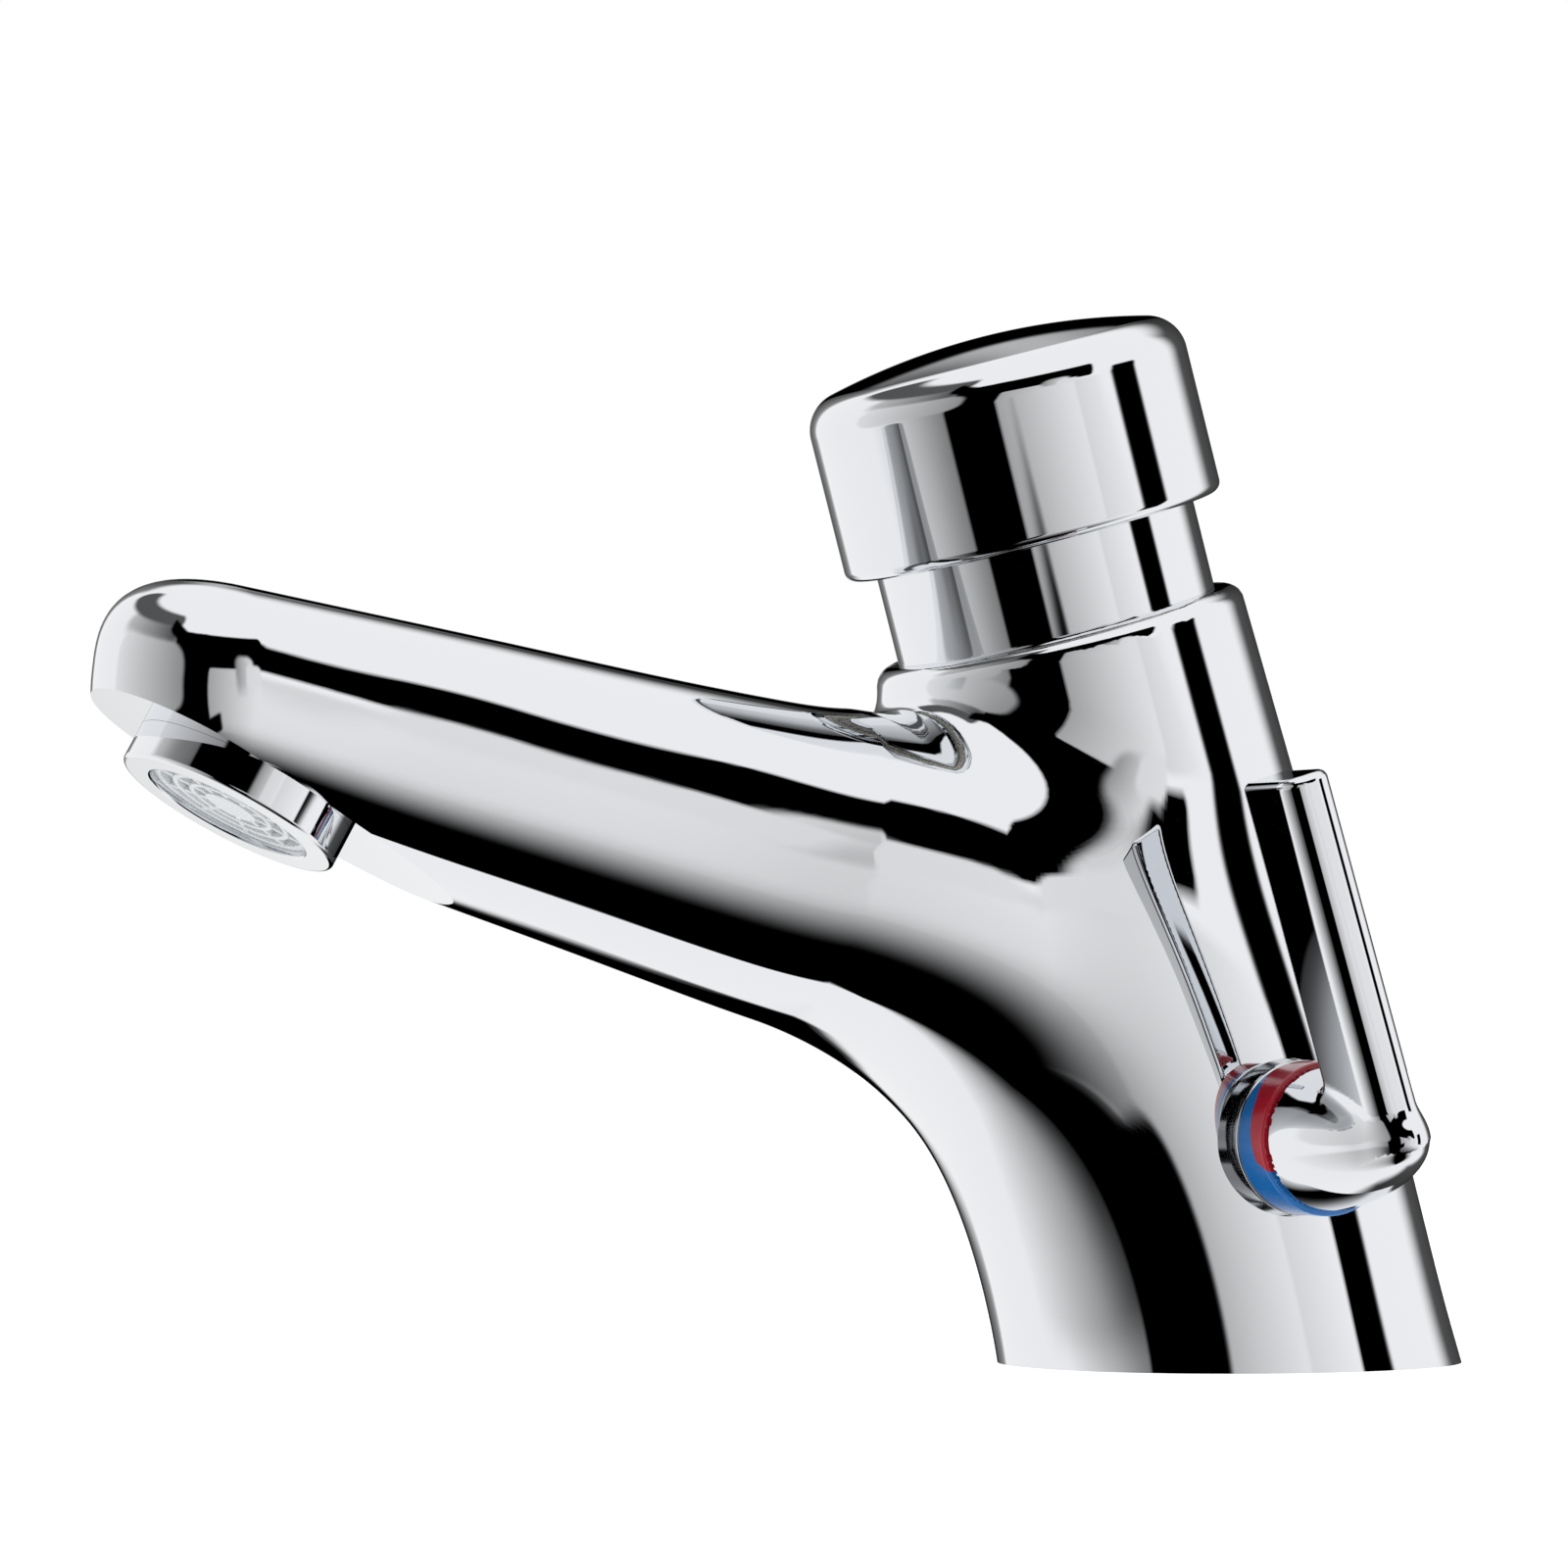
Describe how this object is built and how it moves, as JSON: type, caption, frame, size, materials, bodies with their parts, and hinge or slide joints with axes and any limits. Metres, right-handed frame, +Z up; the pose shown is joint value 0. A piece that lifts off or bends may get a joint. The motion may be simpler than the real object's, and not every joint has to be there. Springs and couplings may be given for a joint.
{
  "type": "push timed mixer tap",
  "caption": "Chrome basin mixer with a leaning round body, a rising spout, a wide push button that starts a timed flow, and a side lever that sets the temperature.",
  "frame": {"origin": "centre of the round base, in the deck plane", "axes": "+Z up from the deck, the spout points along -Y, the temperature lever is on the +X side"},
  "size_m": [0.0777, 0.1675, 0.1215],
  "materials": {
    "chrome_plate": "mirror bright",
    "plated_gland": "bright rim, dark neck",
    "brass": "turned",
    "stainless_steel": "drawn",
    "spring_steel": "drawn wire",
    "black_rubber": "matt",
    "alumina_ceramic": "lapped",
    "ivory_plastic": "moulded",
    "white_plastic": "moulded",
    "pale_grey_plastic": "moulded",
    "blue_plastic": "glossy",
    "red_plastic": "glossy"
  },
  "bodies": {
    "casting": {"body_casting": "chrome_plate", "neck_sleeve": "chrome_plate", "cartridge_housing": "ivory_plastic", "cartridge_o_rings": "black_rubber", "cartridge_cover": "ivory_plastic", "rod_o_ring": "black_rubber", "gland_nut": "plated_gland", "temperature_stop": "ivory_plastic", "spindle_o_ring": "black_rubber", "temperature_ring_blue": "blue_plastic", "temperature_ring_red": "red_plastic", "disc_seal": "black_rubber", "fixed_ceramic_disc": "alumina_ceramic", "hot_inlet_filter": "stainless_steel", "cold_inlet_filter": "stainless_steel", "hot_check_valve_body": "white_plastic", "cold_check_valve_body": "white_plastic", "hot_check_valve_spring": "spring_steel", "cold_check_valve_spring": "spring_steel", "base_gasket": "black_rubber", "aerator_shell": "chrome_plate", "flow_straightener": "pale_grey_plastic", "flow_regulator": "pale_grey_plastic", "aerator_washer": "black_rubber", "button_spring": "spring_steel"},
    "push_button": {"push_button_cap": "chrome_plate", "cap_guide_bush": "ivory_plastic", "piston_rod": "stainless_steel", "rod_lock_nut": "brass", "piston": "brass", "piston_lip_seal": "black_rubber", "valve_disc": "brass", "valve_pad": "black_rubber"},
    "lever": {"temperature_lever": "chrome_plate", "lever_grub_screw": "stainless_steel", "mixer_spindle": "brass", "turning_ceramic_disc": "alumina_ceramic"},
    "hot_poppet": {"hot_check_valve_poppet": "white_plastic"},
    "cold_poppet": {"cold_check_valve_poppet": "white_plastic"}
  },
  "joints": [
    {"name": "button_press", "type": "slide", "parent": "casting", "child": "push_button", "axis": [0, 0.2706, -0.9627], "range_m": [0, 0.007], "stiffness_N_per_m": 900, "springref_m": -0.004, "deforming": ["button_spring"]},
    {"name": "temperature_turn", "type": "hinge", "parent": "casting", "child": "lever", "pos_m": [0, -0.0075, 0.02667], "axis": [1, 0, 0], "range_deg": [-45, 45]},
    {"name": "hot_poppet_lift", "type": "slide", "parent": "casting", "child": "hot_poppet", "axis": [0, 0, 1], "range_m": [0, 0.0015], "stiffness_N_per_m": 60, "springref_m": -0.002, "deforming": ["hot_check_valve_spring"]},
    {"name": "cold_poppet_lift", "type": "slide", "parent": "casting", "child": "cold_poppet", "axis": [0, 0, 1], "range_m": [0, 0.0015], "stiffness_N_per_m": 60, "springref_m": -0.002, "deforming": ["cold_check_valve_spring"]}
  ]
}
